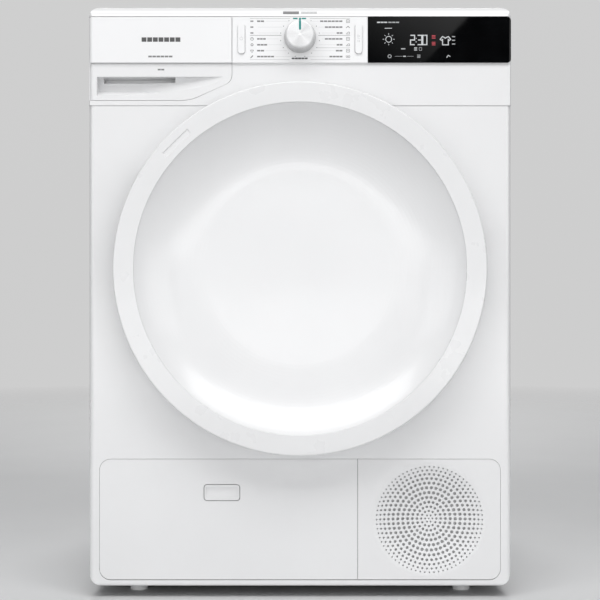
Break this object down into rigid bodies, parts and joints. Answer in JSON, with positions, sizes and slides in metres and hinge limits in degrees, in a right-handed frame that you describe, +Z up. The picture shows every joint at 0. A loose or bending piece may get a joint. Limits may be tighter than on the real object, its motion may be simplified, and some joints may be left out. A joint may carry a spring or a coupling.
{
  "type": "clothes dryer",
  "caption": "Freestanding front-loading clothes dryer with a round dished door, water tank drawer, programme dial, display panel, service flap and perforated air grille.",
  "frame": {"origin": "on the floor, under the middle of the machine's overall box", "axes": "+Z up; the door and controls face -Y; +X to the right seen from the front"},
  "size_m": [0.6, 0.625, 0.842],
  "materials": {
    "white_enamel": "smooth semi-gloss enamel",
    "white_plastic": "smooth moulded plastic",
    "worktop_board": "white laminated board",
    "zinc_sheet": "galvanised sheet",
    "drum_steel": "brushed stainless steel",
    "black_glass": "polished black",
    "dial_finish": "satin with a turned face",
    "dark_plastic": "moulded",
    "grey_plastic": "moulded",
    "tank_plastic": "translucent moulded",
    "filter_plastic": "moulded with fine mesh",
    "lever_plastic": "moulded",
    "board": "circuit board",
    "grey_rubber": "soft",
    "black_rubber": "ribbed",
    "felt": "pressed felt",
    "bronze": "sintered",
    "fin_aluminium": "thin fins",
    "motor_steel": "laminated core",
    "shaft_steel": "ground"
  },
  "bodies": {
    "cabinet": {"side_panel_left": "white_enamel", "side_panel_right": "white_enamel", "rear_panel": "zinc_sheet", "rear_cover": "zinc_sheet", "worktop": "worktop_board", "front_panel": "white_enamel", "control_housing": "white_plastic", "fascia_plate": "white_plastic", "display_glass": "black_glass", "display_board": "board", "tank_bay": "grey_plastic", "base_unit": "dark_plastic", "grille_panel": "white_plastic", "front_bulkhead": "zinc_sheet", "front_felt": "felt", "rear_bulkhead": "zinc_sheet", "shaft_bearing": "bronze", "heater": "zinc_sheet", "door_seal": "grey_rubber", "door_catch": "zinc_sheet", "hinge_bracket": "zinc_sheet", "motor_body": "motor_steel", "exchanger_core": "fin_aluminium", "exchanger_cover": "dark_plastic", "drain_pump": "grey_plastic", "drain_spigot": "grey_plastic", "power_gland": "dark_plastic", "drive_belt": "black_rubber", "rear_screws": "zinc_sheet"},
    "door": {"door_ring": "white_plastic", "door_dish": "white_plastic", "door_back": "grey_plastic", "hinge_leaf": "zinc_sheet", "door_screws": "zinc_sheet"},
    "filter": {"lint_filter": "filter_plastic"},
    "drum": {"drum_shell": "drum_steel", "drum_front_ring": "drum_steel", "drum_back": "drum_steel", "drum_lifters": "grey_plastic"},
    "roller_l": {"roller_left": "dark_plastic"},
    "roller_r": {"roller_right": "dark_plastic"},
    "rotor": {"motor_shaft": "shaft_steel", "cooling_fan": "dark_plastic", "process_fan": "dark_plastic"},
    "tensioner": {"idler_arm": "zinc_sheet"},
    "idler": {"idler_wheel": "dark_plastic"},
    "dial": {"selector_knob": "dial_finish"},
    "button_l": {"power_button": "white_plastic"},
    "button_r": {"start_button": "white_plastic"},
    "drawer": {"tank_fascia": "white_plastic", "tank_grip": "white_plastic", "water_tank": "tank_plastic"},
    "flap": {"access_flap": "white_plastic"},
    "latch": {"flap_button": "white_plastic"},
    "lock_l": {"lever_left": "lever_plastic"},
    "lock_r": {"lever_right": "lever_plastic"},
    "foot_fl": {"foot_front_left": "grey_plastic"},
    "foot_fr": {"foot_front_right": "grey_plastic"},
    "foot_rl": {"foot_rear_left": "grey_plastic"},
    "foot_rr": {"foot_rear_right": "grey_plastic"}
  },
  "joints": [
    {"name": "door_hinge", "type": "hinge", "parent": "cabinet", "child": "door", "pos_m": [0.247, -0.294, 0.467], "axis": [0, 0, 1], "range_deg": [0, 120]},
    {"name": "filter_slide", "type": "slide", "parent": "door", "child": "filter", "axis": [0, 1, 0], "range_m": [0, 0.1]},
    {"name": "drum_spin", "type": "hinge", "parent": "cabinet", "child": "drum", "pos_m": [0, 0, 0.505], "axis": [0, 1, 0], "continuous": true},
    {"name": "motor_spin", "type": "hinge", "parent": "cabinet", "child": "rotor", "pos_m": [0.183, 0, 0.117], "axis": [0, 1, 0], "continuous": true},
    {"name": "roller_left_spin", "type": "hinge", "parent": "cabinet", "child": "roller_l", "pos_m": [-0.18314, -0.212, 0.24344], "axis": [0, 1, 0], "continuous": true},
    {"name": "roller_right_spin", "type": "hinge", "parent": "cabinet", "child": "roller_r", "pos_m": [0.18314, -0.212, 0.24344], "axis": [0, 1, 0], "continuous": true},
    {"name": "tensioner_swing", "type": "hinge", "parent": "cabinet", "child": "tensioner", "pos_m": [0.075, -0.06, 0.11], "axis": [0, 1, 0], "range_deg": [-12, 0], "stiffness_Nm_per_rad": 2, "springref_deg": 17.19},
    {"name": "idler_spin", "type": "hinge", "parent": "tensioner", "child": "idler", "pos_m": [0.02254, -0.08, 0.15989], "axis": [0, 1, 0], "continuous": true},
    {"name": "dial_turn", "type": "hinge", "parent": "cabinet", "child": "dial", "pos_m": [0, -0.28, 0.796], "axis": [0, 1, 0], "continuous": true},
    {"name": "power_button_press", "type": "slide", "parent": "cabinet", "child": "button_l", "axis": [0, 1, 0], "range_m": [0, 0.0015], "stiffness_N_per_m": 300, "springref_m": -0.003},
    {"name": "start_button_press", "type": "slide", "parent": "cabinet", "child": "button_r", "axis": [0, 1, 0], "range_m": [0, 0.0015], "stiffness_N_per_m": 300, "springref_m": -0.003},
    {"name": "drawer_slide", "type": "slide", "parent": "cabinet", "child": "drawer", "axis": [0, -1, 0], "range_m": [0, 0.36]},
    {"name": "flap_hinge", "type": "hinge", "parent": "cabinet", "child": "flap", "pos_m": [0, -0.2655, 0.0435], "axis": [1, 0, 0], "range_deg": [0, 90]},
    {"name": "latch_press", "type": "slide", "parent": "flap", "child": "latch", "axis": [0, 1, 0], "range_m": [0, 0.0025], "stiffness_N_per_m": 300, "springref_m": -0.003},
    {"name": "lock_left_turn", "type": "hinge", "parent": "cabinet", "child": "lock_l", "pos_m": [-0.248, -0.2555, 0.09], "axis": [0, 1, 0], "range_deg": [0, 90]},
    {"name": "lock_right_turn", "type": "hinge", "parent": "cabinet", "child": "lock_r", "pos_m": [-0.082, -0.2555, 0.09], "axis": [0, 1, 0], "range_deg": [-90, 0]},
    {"name": "foot_front_left_screw", "type": "slide", "parent": "cabinet", "child": "foot_fl", "axis": [0, 0, 1], "range_m": [-0.015, 0]},
    {"name": "foot_front_right_screw", "type": "slide", "parent": "cabinet", "child": "foot_fr", "axis": [0, 0, 1], "range_m": [-0.015, 0]},
    {"name": "foot_rear_left_screw", "type": "slide", "parent": "cabinet", "child": "foot_rl", "axis": [0, 0, 1], "range_m": [-0.015, 0]},
    {"name": "foot_rear_right_screw", "type": "slide", "parent": "cabinet", "child": "foot_rr", "axis": [0, 0, 1], "range_m": [-0.015, 0]}
  ],
  "couplings": [
    {"joint": "motor_spin", "follows": "drum_spin", "ratio": 34.373},
    {"joint": "roller_left_spin", "follows": "drum_spin", "ratio": -8.1143},
    {"joint": "roller_right_spin", "follows": "drum_spin", "ratio": -8.1143},
    {"joint": "idler_spin", "follows": "drum_spin", "ratio": -14.782}
  ]
}
